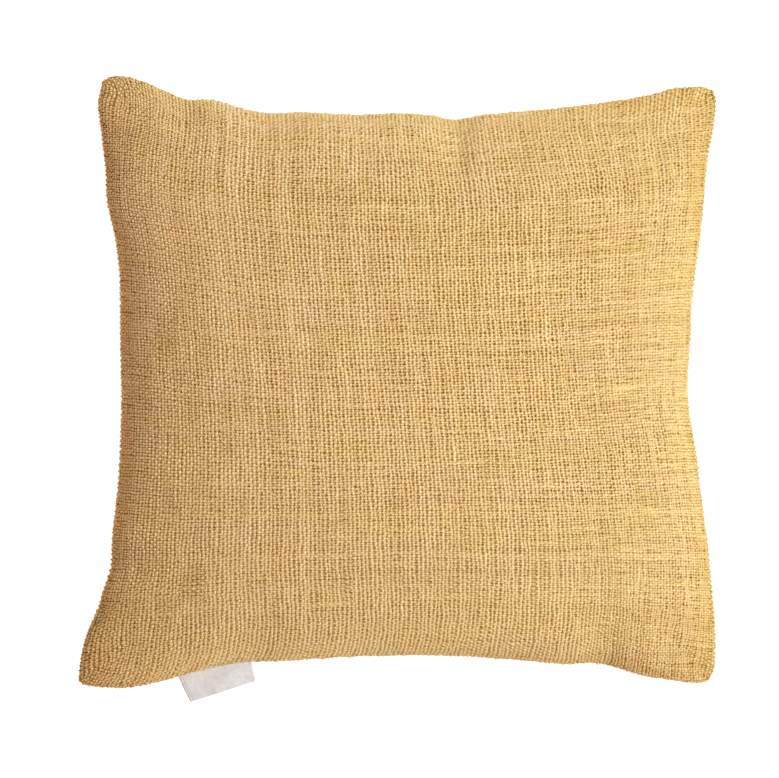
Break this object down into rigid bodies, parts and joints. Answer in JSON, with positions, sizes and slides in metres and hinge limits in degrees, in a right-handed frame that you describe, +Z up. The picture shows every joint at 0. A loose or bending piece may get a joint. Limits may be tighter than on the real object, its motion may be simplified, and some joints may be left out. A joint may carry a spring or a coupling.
{
  "type": "cushion cover",
  "caption": "Square filled cushion cover of coarse handwoven cloth with a knife-edge seam, drawn-in sides and a folded label in its lower seam.",
  "frame": {"origin": "middle of the flat patch of the back that the cushion rests on", "axes": "+Z up, through the crown of the face; +Y towards the face's upper edge; +X towards its right side; the label is in the lower seam, on the -Y side"},
  "size_m": [0.4785, 0.4688, 0.124],
  "materials": {
    "cover_cloth": "coarse plain weave of thick and thin undyed and straw-yellow yarns, matt",
    "label_tape": "smooth off-white woven tape, slight satin sheen"
  },
  "bodies": {
    "root": {"cushion_cover": "cover_cloth", "side_label": "label_tape"}
  },
  "joints": []
}
